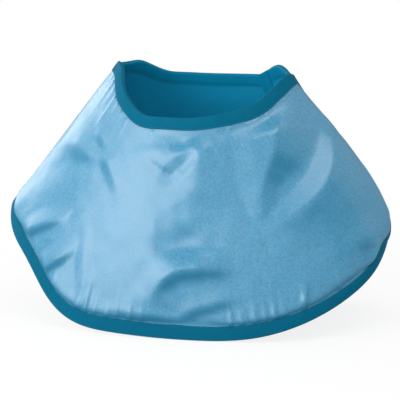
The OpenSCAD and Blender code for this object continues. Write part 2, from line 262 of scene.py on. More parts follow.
front_folds = [
    # Crest along the broad bright field, which swings left below the chest
    ([(-82, 0.05, 3, 46, 60), (-82, 0.12, 6, 50, 75), (-83, 0.22, 8, 50, 85), (-84, 0.29, 7, 46, 85),
      (-89, 0.36, 5, 40, 85), (-95, 0.41, 4, 38, 85), (-99, 0.46, 4.5, 38, 85), (-98, 0.54, 5, 40, 85),
      (-97, 0.64, 5, 40, 85), (-96, 0.78, 5, 36, 80), (-96, 0.93, 4, 32, 70)], 5),
    # Sharp fold under the closing shoulder: its near arm, wide at the top, and its far arm
    ([(-36, 0.06, 6, 46, 60), (-40, 0.15, 13, 50, 68), (-45, 0.22, 12, 43, 66), (-50, 0.26, 10, 34, 58),
      (-55, 0.31, 7.5, 26, 44), (-59, 0.38, 5, 19, 28), (-61, 0.45, 3, 13, 15), (-62, 0.50, 1, 8, 8)], 2.2),
    ([(-63, 0.53, 1, 10, 40), (-57, 0.525, 4, 14, 55), (-50, 0.515, 8, 20, 65), (-38, 0.49, 12, 26, 70),
      (-28, 0.46, 12, 25, 70), (-18, 0.41, 10, 20, 60), (-10, 0.36, 6, 17, 40), (-6, 0.33, 2, 12, 30)], 3),
    # Folds above the middle of the hem
    ([(-75, 0.69, 1, 16, 24), (-80, 0.675, 5, 30, 30), (-85, 0.67, 9, 46, 36), (-90, 0.68, 10, 54, 38),
      (-93, 0.73, 9, 54, 34), (-96, 0.83, 5, 42, 30), (-96, 0.90, 1, 22, 24)], 2.5),
    ([(-74, 0.69, 1, 9, 20), (-80, 0.675, 6, 13, 26), (-85, 0.67, 9, 16, 30), (-90, 0.68, 9, 18, 30),
      (-93, 0.73, 8, 16, 28), (-96, 0.81, 3, 13, 24)], 2),
    ([(-90, 0.885, 1, 30, 9), (-86, 0.85, 4.5, 56, 11), (-80, 0.82, 5, 60, 11), (-73, 0.81, 1, 30, 9)], 2),
    # Short folds running in from the hem under the folding shoulder
    ([(-155, 0.93, 3, 22, 9), (-150, 0.85, 6, 24, 9), (-145, 0.77, 6, 24, 9), (-138, 0.65, 2, 20, 9)], 1.5),
    ([(-139, 0.97, 3, 22, 9), (-135, 0.89, 6, 24, 9), (-131, 0.80, 6, 24, 9), (-127, 0.71, 2, 20, 8)], 1.5),
    ([(-116, 0.88, 1, 12, 10), (-119, 0.74, 2.5, 14, 11), (-124, 0.60, 1, 12, 10)], 3),
    # Soft crest across the folding shoulder, and the wrinkles that run down from it
    ([(-172, 0.57, 1, 50, 26), (-162, 0.44, 4, 50, 26), (-150, 0.35, 5, 46, 24), (-140, 0.29, 4, 40, 18),
      (-131, 0.27, 1, 30, 14)], 5),
    ([(-136, 0.24, 1, 24, 11), (-129, 0.27, 4, 28, 12), (-121, 0.31, 4, 30, 13),
      (-116, 0.38, 1, 24, 12)], 2.5),
    ([(-150, 0.20, 1, 18, 10), (-142, 0.24, 3, 20, 11), (-134, 0.235, 1, 18, 9)], 2),
    # Soft swell under the swing of the long crest
    ([(-98, 0.475, 1, 16, 20), (-92, 0.455, 3, 17, 22), (-84, 0.44, 1, 16, 20)], 5),
    # Swells above the hem on the closing side
    ([(-42, 0.92, 1, 50, 30), (-38, 0.78, 5, 62, 40), (-35, 0.62, 3, 50, 36)], 6),
    ([(-38, 0.80, 1, 26, 12), (-30, 0.77, 5, 30, 14), (-22, 0.81, 5, 30, 14), (-14, 0.88, 2, 20, 10)], 3),
    ([(-54.5, 0.95, 1, 7, 5), (-53.5, 0.885, 4, 8, 5), (-52.5, 0.83, 1, 7, 5)], 1.2),
]
# Hollows in the front cover, laid out as the folds are
front_dents = [
    ([(-149, 0.33, 1, 12, 10), (-140, 0.285, 3.5, 14, 12), (-131, 0.25, 1, 12, 10)], 3),
    ([(-97, 0.14, 1, 12, 9), (-92, 0.105, 4.5, 14, 11), (-87, 0.07, 2, 12, 9)], 3),
    ([(-96, 0.275, 1, 12, 9), (-91, 0.22, 4.5, 14, 11), (-87, 0.175, 2, 12, 9)], 3),
    ([(-97, 0.575, 1, 18, 14), (-90, 0.585, 2.4, 20, 15), (-81, 0.57, 1, 18, 14)], 4),
    ([(-77, 0.04, 1, 8, 8), (-75, 0.12, 1.5, 10, 10), (-74, 0.22, 0.5, 10, 10)], 3),
]
back_folds = [
    ([(150, 0.16, 2, 40, 30), (146, 0.50, 5, 40, 30), (143, 0.86, 2, 40, 30)], 6),
    ([(114, 0.14, 2, 34, 48), (119, 0.50, 7, 34, 48), (123, 0.88, 2, 34, 48)], 5),
    ([(90, 0.18, 2, 40, 30), (93, 0.50, 6, 40, 30), (97, 0.88, 2, 40, 30)], 6),
]
# Small gathers where the cover meets the hem and the neckline: angle and height in millimetres
hem_gathers = [(-146, 1.8), (-130, 1.6), (-118, 2.8), (-115, 3.4), (-112, 2.4), (-108, 3.4), (-105, 2.6),
               (-101, 3.6), (-98, 2.8), (-77, 3.8), (-74, 2.8), (-70, 3.2), (-67, 2.8), (-64, 3.4),
               (-61, 2.4), (-54, 2.8), (-40, 1.6), (96, 1.6), (108, 2.2), (131, 2.0), (140, 1.4)]
neck_gathers = [(-167, 1.2), (-161, 1.6), (-155, 1.2), (-149, 1.7), (-143, 1.3), (-137, 1.6), (-130, 1.0),
                (-110, 0.9), (-72, 1.0), (-64, 1.2), (-52, 1.3), (-47, 1.2), (-38, 1.0),
                (84, 1.0), (120, 1.2), (139, 1.0)]
# Where the cover billows out over the hem binding: angle, spread, height and how far it hangs over
hem_swells = [(-7, 6, 0.0035, 0.009), (-22, 5, 0.0025, 0.004), (-171, 10, 0.0035, 0.012)]
billow_rise = 0.007
# How far in from the hem or neckline the gathers reach their height, and how far they run
gather_rise = 0.003
hem_gather_reach = 0.016
neck_gather_reach = 0.017
# How loose the cover lies on the plies, and the height and size of its broad and fine crumples
cover_ease = 0.0012
broad_crumple = (0.0010, 0.045)
fine_crumple = (0.0005, 0.019)
# Angles over which the cover flattens where the panels overlap and at the folding shoulder, and how much
overlap_start = (-2, 14)
overlap_end = (112, 84)
overlap_flat = 0.75
shoulder_rise = (180, 168)
shoulder_flat = 0.65
# How near a seam the cover is held down, and how far off a binding and the neckline it lies free
seam_hold = 0.0003
binding_reach = 0.013
neckline_reach = 0.030
# The cover's puff above the middle of the hem: its height, its rise and how far up it dies out
puff_height = 0.0028
puff_rise = 0.006
puff_reach = 0.022


def fold_height(fold, points, normals):
    """Height of one fold over points of the cloth."""
    stops, crest = fold
    stops = np.array(stops, float)
    crest = crest / 1000
    steps_to_a_stop = 7
    foot_softness = 0.02
    fine = np.linspace(0, len(stops) - 1, steps_to_a_stop * len(stops))
    lines = np.stack([np.interp(fine, np.arange(len(stops)), column) for column in stops.T])
    for _ in range(3):
        lines[:, 1:-1] = (lines[:, :-2] + 2 * lines[:, 1:-1] + lines[:, 2:]) / 4
    path = cloth(lines[0], lines[1])
    facts = lines[2:].T / 1000
    reach = 2.2 * facts[:, 1:].max()
    close = np.all((points > path.min(0) - reach) & (points < path.max(0) + reach), axis=-1)
    points, normals = points[close], normals[close]
    best = np.full(len(points), np.inf)
    side = np.zeros(len(points))
    here = np.zeros((len(points), 3))
    for k in range(len(path) - 1):
        run = path[k + 1] - path[k]
        along = np.clip((points - path[k]) @ run / (run @ run), 0, 1)[:, None]
        away = points - path[k] - along * run
        far = np.linalg.norm(away, axis=1)
        near = far < best
        best[near] = far[near]
        left = np.cross(normals[near], run / np.linalg.norm(run))
        side[near] = np.sum(left * away[near], axis=1) / np.maximum(far[near], 1e-6)
        here[near] = (facts[k] + along * (facts[k + 1] - facts[k]))[near]
    height, left_w, right_w = here.T
    width = right_w + (left_w - right_w) * smooth(-0.3, 0.3, side)
    slope = 1 - (np.sqrt(best ** 2 + crest ** 2) - crest) / width
    total = np.zeros(close.shape)
    total[close] = height * (slope + np.sqrt(slope ** 2 + foot_softness)) / (1 + math.sqrt(1 + foot_softness))
    return total


def gathers(puckers, a, v, depth, reach):
    """Small ridges square to a seam, which die out away from it."""
    total = np.zeros_like(a)
    run = degree_run(a, v)
    for k, (at, height) in enumerate(puckers):
        width = 0.0028 + 0.0010 * (k % 3)
        length = reach * (0.7 + 0.15 * (3 * k % 5))
        across = (a - at) * run / width
        fade = np.exp(-np.maximum(depth, 0) / length)
        total = total + height / 1000 * np.exp(-across ** 2) * fade
    return total * smooth(seam_hold, gather_rise, depth)


def billow(a, depth):
    """How far the cover stands out over the hem binding, and how far it hangs down over it."""
    rise = np.maximum(depth, 0) / billow_rise
    shape = rise * np.exp(1 - rise)
    near = [(np.exp(-((a - at) / spread) ** 2), height, hang) for at, spread, height, hang in hem_swells]
    out = sum(share * height for share, height, _ in near)
    down = sum(share * hang for share, _, hang in near)
    return out * shape, down * shape * smooth(0, 0.6, rise)


def cover_lift(panel, a, t):
    """How far the cover stands off the plies, how far it hangs down, and its distance from the bindings."""
    v = share_down(panel, a, t)
    points, normals = cloth(a, v), outward(a, v)
    length = cut_length(panel, a)
    from_neck = t * length - neck_binding_w
    from_hem = (1 - t) * length - binding_w
    first, last = span[panel]
    free = (last - a if panel == FRONT else a - first) * degree_run(a, v) - binding_w
    turn = np.where(a < -180, a + 360, a)
    ridges = np.sqrt(sum(fold_height(fold, points, normals) ** 2 for fold in front_folds + back_folds))
    dents = sum(fold_height(fold, points, normals) for fold in front_dents)
    crumple = sum(height * noise_at(points + shift, size)
                  for (height, size), shift in ((broad_crumple, 0), (fine_crumple, 0.3)))
    overlap = smooth(*overlap_start, a) * smooth(*overlap_end, a)
    shoulder = smooth(*shoulder_rise, np.abs(turn))
    lift = cover_ease + ridges * (1 - overlap) - dents + crumple
    lift = np.maximum(lift, 0) * (1 - overlap_flat * overlap) * (1 - shoulder_flat * (1 - shoulder))
    near = np.minimum(np.minimum(from_neck, from_hem), free)
    out, down = billow(turn, from_hem)
    lift = lift * smooth(seam_hold, binding_reach, near) * smooth(seam_hold, neckline_reach, from_neck) + out
    puff = puff_height * smooth(0, puff_rise, from_hem)
    puff = puff * np.exp(-np.maximum(from_hem - puff_rise, 0) / puff_reach)
    # The puff fades out at the middle of the hem, and towards both sides
    puff = puff * (1 - 0.9 * np.exp(-((turn + 85) / 8) ** 2))
    lift = lift + puff * smooth(-150, -122, turn) * smooth(-38, -58, turn)
    lift = lift + gathers(hem_gathers, turn, v, from_hem, hem_gather_reach)
    lift = lift + gathers(neck_gathers, turn, v, from_neck, neck_gather_reach)
    return lift, down / length, near


# Meshes

# Degrees past which an edge shows as a crease
crease_angle = 50


def new_piece(name, points, faces, material):
    mesh = bpy.data.meshes.new(name)
    mesh.from_pydata(np.asarray(points).reshape(-1, 3).tolist(), [], faces)
    mesh.materials.append(material)
    piece = bpy.data.objects.new(name, mesh)
    bpy.context.scene.collection.objects.link(piece)
    bpy.ops.object.select_all(action="DESELECT")
    piece.select_set(True)
    bpy.context.view_layer.objects.active = piece
    bpy.ops.object.shade_smooth_by_angle(angle=math.radians(crease_angle))
    return piece


def lay_flat(piece, flat):
    """Gives a piece the UV map cut, with each vertex's place on the flat cloth in metres."""
    mesh = piece.data
    corner = np.zeros(len(mesh.loops), np.int32)
    mesh.loops.foreach_get("vertex_index", corner)
    places = np.asarray(flat, np.float32).reshape(-1, 2)[corner]
    mesh.uv_layers.new(name="cut").data.foreach_set("uv", places.ravel())


def mark(piece, name, values):
    """Gives a piece a value for each vertex, which its finish reads by name."""
    attribute = piece.data.attributes.new(name, "FLOAT", "POINT")
    attribute.data.foreach_set("value", np.asarray(values, np.float32).ravel())


def shell_faces(columns, rows):
    """Faces of a closed sheet: its outer points come first, then its inner ones."""
    out = np.arange(columns * rows).reshape(columns, rows)
    inn = out + columns * rows

    def quads(p, q, r, s):
        return np.stack([p, q, r, s], -1).reshape(-1, 4)

    return np.concatenate([
        quads(out[:-1, :-1], out[:-1, 1:], out[1:, 1:], out[1:, :-1]),
        quads(inn[:-1, :-1], inn[1:, :-1], inn[1:, 1:], inn[:-1, 1:]),
        quads(out[:-1, 0], out[1:, 0], inn[1:, 0], inn[:-1, 0]),
        quads(out[1:, -1], out[:-1, -1], inn[:-1, -1], inn[1:, -1]),
        quads(out[0, 1:], out[0, :-1], inn[0, :-1], inn[0, 1:]),
        quads(out[-1, :-1], out[-1, 1:], inn[-1, 1:], inn[-1, :-1]),
    ]).tolist()


def panel_grid(panel, columns, rows, inset=0.0):
    """Angles and shares of a grid over a panel, closest in the front and beside the bindings."""
    first, last = span[panel]
    middle = np.array(0.5)
    if panel == FRONT:
        last = free_angle(panel, inset, middle)
        parts = [(first, -180, 0.04), (-180, 0, 0.86), (0, last, 0.10)]
    else:
        parts = [(free_angle(panel, inset, middle), last, 1)]
    runs = [np.linspace(start, end, round(share * columns), endpoint=False) for start, end, share in parts]
    a = np.append(np.concatenate(runs), parts[-1][1])
    length = cut_length(panel, a)[:, None]
    step = np.arange(rows)
    closer, reach = 0.72, 0.09 * rows
    pace = 1 - sum(closer * np.exp(-(far / reach) ** 2) for far in (step, rows - 1 - step))
    down = np.cumsum(pace) - pace[0]
    neck_w, hem_w = neck_binding_w - 0.001, binding_w - 0.001
    between = neck_w + (length - neck_w - hem_w) * down / down[-1]
    ends = [np.broadcast_to([inset, 0.6 * width, width - 0.002], (len(a), 3)) for width in (neck_w, hem_w)]
    t = np.concatenate([ends[0], between, length - ends[1][:, ::-1]], 1) / length
    return np.broadcast_to(a[:, None], t.shape).copy(), t


def flat_places(panel, a, t):
    """Places on the cut cloth, unrolled as a cone about the neck."""
    first, last = span[panel]
    steps = np.linspace(first, last, 200)
    neck, hem = neck_line(steps), hem_line(steps)
    neck_run = np.linalg.norm(np.diff(neck, axis=0), axis=1)
    hem_run = np.linalg.norm(np.diff(hem, axis=0), axis=1)
    length = np.linalg.norm(hem - neck, axis=1).mean()
    inner = length * neck_run.sum() / (hem_run.sum() - neck_run.sum())
    turned = np.concatenate([[0], np.cumsum(neck_run + hem_run)]) / (2 * inner + length)
    angle = np.interp(a, steps, turned - turned[-1] / 2)
    reach = inner + t * cut_length(panel, a)
    return np.stack([reach * np.sin(angle), -reach * np.cos(angle)], -1)


def cloth_sheet(name, panel, grid, outer, inner, material):
    a, t = grid
    points = np.stack([on_panel(panel, a, t, outer), on_panel(panel, a, t, inner)])
    piece = new_piece(name, points, shell_faces(*a.shape), material)
    flat = flat_places(panel, a, t)
    lay_flat(piece, np.stack([flat, flat]))
    return piece


def painted_fold_shade(panel, a, t, points):
    """How much each place of a cover faces down into a fold, from 0 to 1, which sets the painted shade in the
    folds.
    """
    n = np.cross(np.gradient(points, axis=1), np.gradient(points, axis=0))
    n = n / np.linalg.norm(n, axis=-1, keepdims=True)
    under = smooth(0.07, 0.34, outward(a, share_down(panel, a, t))[..., 2] - n[..., 2])
    for axis in (0, 1, 0, 1):
        under = (under + np.roll(under, 1, axis) + np.roll(under, -1, axis)) / 3
    return under


def make_cover(panel, material):
    a, t = panel_grid(panel, cover_columns[panel], cover_rows)
    lift, down, near = cover_lift(panel, a, t)
    hung, outer = t + down, cloth_out + lift
    piece = cloth_sheet(panel + "_cover_cloth", panel, (a, hung), outer, cloth_in + lift, material)
    # Distance from the bindings, which sets the painted shade along the seams
    mark(piece, "seam", np.stack([near, near]))
    # Painted shade: how much the cover faces down into a fold, which darkens its colour and sheen there
    under = painted_fold_shade(panel, a, t, on_panel(panel, a, hung, outer))
    mark(piece, "painted_fold_shade", np.stack([under, under]))
    return piece


def make_lining(panel, material):
    grid = panel_grid(panel, layer_columns[panel], layer_rows)
    a, t = grid
    slack = 0.0006 * np.abs(noise_at(cloth(a, t), 0.05)) * smooth(0.02, 0.15, t) * smooth(0.98, 0.85, t)
    return cloth_sheet(panel + "_lining_cloth", panel, grid, -cloth_in - slack, -cloth_out - slack, material)


def make_ply(panel, name, inner, outer, material):
    grid = panel_grid(panel, layer_columns[panel], layer_rows, ply_inset)
    return cloth_sheet(panel + name, panel, grid, outer, inner, material)


# How deep the seam pulls into the tape, and the step between the tape's sections
dip = 0.0004
binding_step = 0.004


def binding_section(width):
    """A binding's section and how many of its points are outside.

    Points are distances in from the cut edge and offsets from the cloth's middle. They run from the outer tip
    round the bend to the inner tip, then back inside.
    """
    tip = width - 0.0004
    seam = width - seam_inset
    belly = leg_out + 0.0002
    leg = [(tip - 0.0002, leg_in + 0.0001), (tip, leg_out - 0.0003), (tip - 0.0005, leg_out),
           (seam + 0.0008, leg_out - 0.0001), (seam, leg_out - dip), (seam - 0.001, leg_out),
           (0.65 * width, belly), (0.35 * width, belly), (0.0025, leg_out + 0.0001)]
    turn = [k * math.pi / 8 for k in range(9)]
    bend = [(-bend_reach * math.sin(k), leg_out * math.cos(k)) for k in turn]
    inside = [(0.0005, -leg_in), (-0.0001, 0.0), (0.0005, leg_in)]
    skin = leg + bend + [(d, -offset) for d, offset in reversed(leg)]
    return np.array(skin + inside), len(skin)


def edge_place(panel, side, along, distance):
    """Angle and share at a place along an edge, a distance in from it."""
    if side == "edge":
        return free_angle(panel, distance, along), along
    share = distance / cut_length(panel, along)
    return along, 1 - share if side == "hem" else share


def seam_place(panel, side, along):
    return edge_place(panel, side, along, np.full_like(along, tape_width[side] - seam_inset))


def edge_run(panel, side, pitch):
    """Even places along an edge of a panel, and how long it is."""
    first, last = span[panel]
    if side == "edge":
        reach = bend_reach / cut_length(panel, np.array(float(wrap_end if panel == FRONT else back_start)))
        fine = np.linspace(-reach, 1 + reach, 300)
    else:
        stop = free_angle(panel, binding_w + butt_gap, np.array(1.0 if side == "hem" else 0.0))
        fine = np.linspace(first, stop, 900) if panel == FRONT else np.linspace(stop, last, 700)
    step = np.linalg.norm(np.diff(on_panel(panel, *seam_place(panel, side, fine), 0), axis=0), axis=1)
    length = np.concatenate([[0], np.cumsum(step)])
    count = max(2, round(length[-1] / pitch))
    return np.interp(np.linspace(0, length[-1], count + 1), length, fine), length[-1]


def make_binding(panel, side, material):
    along, length = edge_run(panel, side, binding_step)
    section, outside = binding_section(tape_width[side])
    ring = len(section)
    grid = np.broadcast_to(along[:, None], (len(along), ring))
    waver = noise_at(on_panel(panel, *seam_place(panel, side, along), 0), 0.022)[:, None]
    distance = section[:, 0] * (1 + 0.03 * waver * (section[:, 0] > 0.6 * tape_width[side]))
    offset = section[:, 1] + 0.00012 * waver * np.sign(section[:, 1]) * (np.arange(ring) < outside)
    points = on_panel(panel, *edge_place(panel, side, grid, distance), offset)
    here = np.arange(len(along) * ring).reshape(len(along), ring)
    turn = np.roll(here, -1, axis=1)
    sides = np.stack([here[:-1], here[1:], turn[1:], turn[:-1]], -1).reshape(-1, 4).tolist()
    ends = [here[0].tolist(), here[-1].tolist()[::-1]]
    piece = new_piece("%s_%s_tape" % (panel, side), points, sides + ends, material)
    skin = np.concatenate([[0], np.cumsum(np.linalg.norm(np.diff(section, axis=0), axis=1))])
    lengthwise = np.linspace(0, length, len(along))
    lay_flat(piece, np.stack(np.broadcast_arrays(lengthwise[:, None], skin[None]), -1))
    worn = np.exp(-(np.arange(ring) - outside // 2) ** 2 / 8.0)
    mark(piece, "worn", np.broadcast_to(worn, (len(along), ring)))
    # Share of each point on the tape's inner face, which is painted lighter against the shade inside the cape
    mark(piece, "inner", np.broadcast_to(smooth(0, -leg_out, section[:, 1]), (len(along), ring)))
    bpy.ops.object.mode_set(mode="EDIT")
    bpy.ops.mesh.select_all(action="SELECT")
    bpy.ops.mesh.normals_make_consistent(inside=False)
    bpy.ops.object.mode_set(mode="OBJECT")
    return piece


def modelled(make):
    """Vertices and faces of a small part that make models by hand, for copying."""
    bpy.ops.object.select_all(action="DESELECT")
    make()
    part = bpy.context.object
    points = np.array([v.co for v in part.data.vertices])
    faces = [list(f.vertices) for f in part.data.polygons]
    bpy.data.objects.remove(part)
    return points, faces


def pick_face(where):
    """Selects the face of the active part that lies furthest along a direction, in edit mode."""
    bpy.ops.object.mode_set(mode="EDIT")
    bpy.ops.mesh.select_mode(type="FACE")
    bpy.ops.mesh.select_all(action="DESELECT")
    bpy.ops.object.mode_set(mode="OBJECT")
    max(bpy.context.object.data.polygons, key=lambda face: face.center.dot(Vector(where))).select = True
    bpy.ops.object.mode_set(mode="EDIT")


def one_stitch():
    """A stitch of thread along X whose ends turn down into the cloth."""
    bpy.ops.mesh.primitive_cylinder_add(vertices=6, radius=thread_d / 2, depth=stitch_l * 0.55)
    bpy.ops.transform.rotate(value=math.pi / 2, orient_axis="Y", center_override=(0, 0, 0))
    bpy.ops.object.transform_apply(location=True, rotation=True, scale=True)
    for end in (1, -1):
        for reach, sink, size in ((0.15, 0.10, 0.8), (0.075, 0.22, 0.55)):
            pick_face((end, 0, 0))
            move = (end * reach * stitch_l, 0, -sink * thread_d)
            bpy.ops.mesh.extrude_region_move(TRANSFORM_OT_translate={"value": move})
            bpy.ops.transform.resize(value=(size, size, size))
            bpy.ops.object.mode_set(mode="OBJECT")


def bent_over(radius, foot, bow, steps, size):
    """A thin rod that stands on Z and bends over along X, in steps of 30 degrees."""
    bpy.ops.mesh.primitive_cylinder_add(vertices=5, radius=radius, depth=foot, location=(0, 0, foot / 2))
    bpy.ops.object.transform_apply(location=True, rotation=True, scale=True)
    pick_face((0, 0, 1))
    turn = math.pi / 6
    for k in range(steps):
        x = [bow * (1 - math.cos(turn * n)) for n in (k, k + 1)]
        z = [bow * math.sin(turn * n) for n in (k, k + 1)]
        move = (x[1] - x[0], 0, z[1] - z[0])
        bpy.ops.mesh.extrude_region_move(TRANSFORM_OT_translate={"value": move})
        bpy.ops.transform.rotate(value=-turn, orient_axis="Y", center_override=(x[1], 0, foot + z[1]))
        bpy.ops.transform.resize(value=(size, size, size), center_override=(x[1], 0, foot + z[1]))
    bpy.ops.object.mode_set(mode="OBJECT")


def one_hook():
    bent_over(0.00016, 0.00026, 0.00026, 4, 0.90)


def one_loop():
    bent_over(0.00009, 0.00010, 0.00042, 6, 1.0)


def copies(name, part, places, along, up, material):
    """One piece made of copies of a small part, each with its X along and its Z up at its place."""
    points, faces = part
    across = np.cross(up, along)
    across = across / np.linalg.norm(across, axis=1, keepdims=True)
    along = np.cross(across, up)
    turn = np.stack([along, across, up], 1)
    every = places[:, None] + np.einsum("pk,nkc->npc", points, turn)
    all_faces = [[i + n * len(points) for i in f] for n in range(len(places)) for f in faces]
    return new_piece(name, every, all_faces, material)


def make_stitches(panel, side, stitch, material):
    along, _ = edge_run(panel, side, stitch_pitch)
    middle = (along[1:] + along[:-1]) / 2
    half = (along[1:] - along[:-1]) / 4
    place, run, up = [], [], []
    for face in (1, -1):
        offset = face * (leg_out - dip + 0.00012)
        stops = (middle - half, middle, middle + half)
        here = [on_panel(panel, *seam_place(panel, side, at), offset) for at in stops]
        a, t = seam_place(panel, side, middle)
        place.append(here[1])
        run.append((here[2] - here[0]) / np.linalg.norm(here[2] - here[0], axis=1, keepdims=True))
        up.append(face * outward(a, share_down(panel, a, t)))
    return copies("%s_%s_stitches" % (panel, side), stitch, *map(np.concatenate, (place, run, up)), material)


def tape_places(panel, across, down):
    """Angle and share of places on a closure tape, given in metres from its middle."""
    middle = np.full_like(across, (wrap_end + back_start) / 2)
    run = np.linalg.norm(hem_line(middle) - neck_line(middle), axis=-1)
    v = tape_place + down / run
    a = middle + across / degree_run(middle, v)
    cut = neck_cut(panel, a)
    return a, (v - cut) / (1 - cut)


def make_tape_strip(panel, name, foot, face, material):
    """The woven ground of a closure tape, its edges a little rounded, on one face of a panel."""
    across = np.linspace(-tape_w / 2, tape_w / 2, 21)
    down = np.linspace(-tape_l / 2, tape_l / 2, 61)
    across, down = np.meshgrid(across, down, indexing="ij")
    a, t = tape_places(panel, across, down)
    edge = np.minimum(tape_w / 2 - np.abs(across), tape_l / 2 - np.abs(down))
    top = foot + face * tape_ground * (0.35 + 0.65 * smooth(0, 0.0012, edge))
    outer, inner = np.maximum(top, foot), np.minimum(top, foot)
    points = np.stack([on_panel(panel, a, t, outer), on_panel(panel, a, t, inner)])
    piece = new_piece(name, points, shell_faces(*a.shape), material)
    flat = np.stack([across, down], -1)
    lay_flat(piece, np.stack([flat, flat]))
    return piece


def make_pile(panel, name, part, foot, face, scatter, material):
    """Rows of hooks or loops on a closure tape; scatter turns and shifts them, from 0 for none to 1."""
    random = np.random.default_rng(7)
    edge = 0.0022
    across = np.arange(-tape_w / 2 + edge, tape_w / 2 - edge, hook_pitch)
    down = np.arange(-tape_l / 2 + edge, tape_l / 2 - edge - hook_pitch / 2, hook_pitch)
    across, down = np.meshgrid(across, down, indexing="ij")
    down = down + hook_pitch / 2 * (np.arange(len(across)) % 2)[:, None]
    facing = math.pi * (np.arange(len(across)) % 2)[:, None] + 0 * down
    across, down, facing = (x.ravel() for x in (across, down, facing))
    shift = scatter * hook_pitch * random.uniform(-0.35, 0.35, (2, len(across)))
    spin = facing + scatter * random.uniform(-math.pi, math.pi, len(across))
    across, down = across + shift[0], down + shift[1]
    a, t = tape_places(panel, across, down)
    offset = foot + face * (tape_ground - 0.00005)
    step = 0.0005
    turned = tape_places(panel, across + step * np.sin(spin), down + step * np.cos(spin))
    ahead = on_panel(panel, *turned, offset)
    place = on_panel(panel, a, t, offset)
    return copies(name, part, place, ahead - place, face * outward(a, share_down(panel, a, t)), material)


def make_tape_seam(panel, name, stitch, foot, face, material):
    """Stitches round a closure tape, just inside its edge."""
    inset = 0.0012
    x, y = tape_w / 2 - inset, tape_l / 2 - inset
    corners = np.array([(-x, -y), (x, -y), (x, y), (-x, y), (-x, -y)])
    places, runs = [], []
    for start, end in zip(corners[:-1], corners[1:]):
        count = round(np.linalg.norm(end - start) / stitch_pitch)
        share = (np.arange(count)[:, None] + 0.5) / count
        places.append(start + (end - start) * share)
        runs.append(np.broadcast_to((end - start) / np.linalg.norm(end - start), (count, 2)))
    place, run = np.concatenate(places), np.concatenate(runs)
    offset = foot + face * (tape_ground + 0.0001)
    a, t = tape_places(panel, *place.T)
    here = on_panel(panel, a, t, offset)
    ahead = on_panel(panel, *tape_places(panel, *(place + 0.001 * run).T), offset)
    return copies(name, stitch, here, ahead - here, face * outward(a, share_down(panel, a, t)), material)


# Finishes

def put(tree, kind, values=(), **settings):
    """A node of a kind, whose inputs take numbers or other nodes' outputs."""
    made = tree.nodes.new(kind)
    for name, value in settings.items():
        setattr(made, name, value)
    for key, value in dict(values).items():
        if isinstance(value, bpy.types.NodeSocket):
            tree.links.new(value, made.inputs[key])
        else:
            made.inputs[key].default_value = value
    return made


def math_of(tree, operation, first, second=0.0):
    return put(tree, "ShaderNodeMath", {0: first, 1: second}, operation=operation).outputs[0]


def effect(name, inputs, outputs):
    """A shared effect as a node group, with its input and output nodes."""
    tree = bpy.data.node_groups.new(name, "ShaderNodeTree")
    for label, kind in inputs.items():
        tree.interface.new_socket(label, in_out="INPUT", socket_type="NodeSocket" + kind)
    for label, kind in outputs.items():
        tree.interface.new_socket(label, in_out="OUTPUT", socket_type="NodeSocket" + kind)
    return tree, put(tree, "NodeGroupInput").outputs, put(tree, "NodeGroupOutput").inputs


def plain_weave():
    """Threads that cross over and under each other, at a pitch in metres."""
    tree, given, result = effect("plain_weave", {"Place": "Vector", "Pitch": "Float"}, {"Height": "Float"})
    share = math_of(tree, "DIVIDE", 1.0, given["Pitch"])
    scaled = put(tree, "ShaderNodeVectorMath", {0: given["Place"], "Scale": share}, operation="SCALE")
    place = put(tree, "ShaderNodeSeparateXYZ", {0: scaled.outputs[0]}).outputs
    cells = math_of(tree, "ADD", math_of(tree, "FLOOR", place[0]), math_of(tree, "FLOOR", place[1]))
    over = math_of(tree, "FLOORED_MODULO", cells, 2.0)
    heights = []
    for axis, top in ((0, over), (1, math_of(tree, "SUBTRACT", 1.0, over))):
        wave = math_of(tree, "SINE", math_of(tree, "MULTIPLY", place[axis], math.pi))
        raised = math_of(tree, "ADD", 0.55, math_of(tree, "MULTIPLY", top, 0.45))
        heights.append(math_of(tree, "MULTIPLY", math_of(tree, "ABSOLUTE", wave), raised))
    tree.links.new(math_of(tree, "MAXIMUM", *heights), result["Height"])
    return tree


def mottle():
    """Uneven colour: a base that turns a little lighter and darker in patches of a size in metres."""
    inputs = {"Place": "Vector", "Colour": "Color", "Patch": "Float", "Amount": "Float"}
    tree, given, result = effect("mottle", inputs, {"Colour": "Color", "Value": "Float"})
    scale = math_of(tree, "DIVIDE", 1.0, given["Patch"])
    cloud = put(tree, "ShaderNodeTexNoise",
                {"Vector": given["Place"], "Scale": scale, "Detail": 3.0, "Roughness": 0.6})
    centred = math_of(tree, "SUBTRACT", cloud.outputs["Fac"], 0.5)
    value = math_of(tree, "ADD", 1.0, math_of(tree, "MULTIPLY", centred, given["Amount"]))
    colour = put(tree, "ShaderNodeHueSaturation", {"Value": value, "Color": given["Colour"]})
    tree.links.new(colour.outputs[0], result["Colour"])
    tree.links.new(cloud.outputs["Fac"], result["Value"])
    return tree


weave, spots = plain_weave(), mottle()


def grouped(tree, group, values):
    return put(tree, "ShaderNodeGroup", values, node_tree=group).outputs


def vertex_value(tree, name):
    return put(tree, "ShaderNodeAttribute", attribute_name=name).outputs["Fac"]


def new_finish(name):
    """A material with its shader, its object coordinates and its place on the flat cloth."""
    material = bpy.data.materials.new(name)
    material.use_nodes = True
    tree = material.node_tree
    shader = tree.nodes["Principled BSDF"]
    place = put(tree, "ShaderNodeTexCoord").outputs["Object"]
    cut = put(tree, "ShaderNodeUVMap", uv_map="cut").outputs[0]
    return material, tree, shader, place, cut


def blend_colour(tree, share, first, second):
    made = put(tree, "ShaderNodeMix", {0: share, 6: first, 7: second}, data_type="RGBA")
    return made.outputs[2]


def mottled(tree, place, colour, broad, fine):
    """A colour mottled twice, in broad and in fine patches, each with a size in metres and an amount."""
    for size, amount in (broad, fine):
        made = grouped(tree, spots, {"Place": place, "Colour": colour, "Patch": size, "Amount": amount})
        colour = made["Colour"]
    return colour, made["Value"]


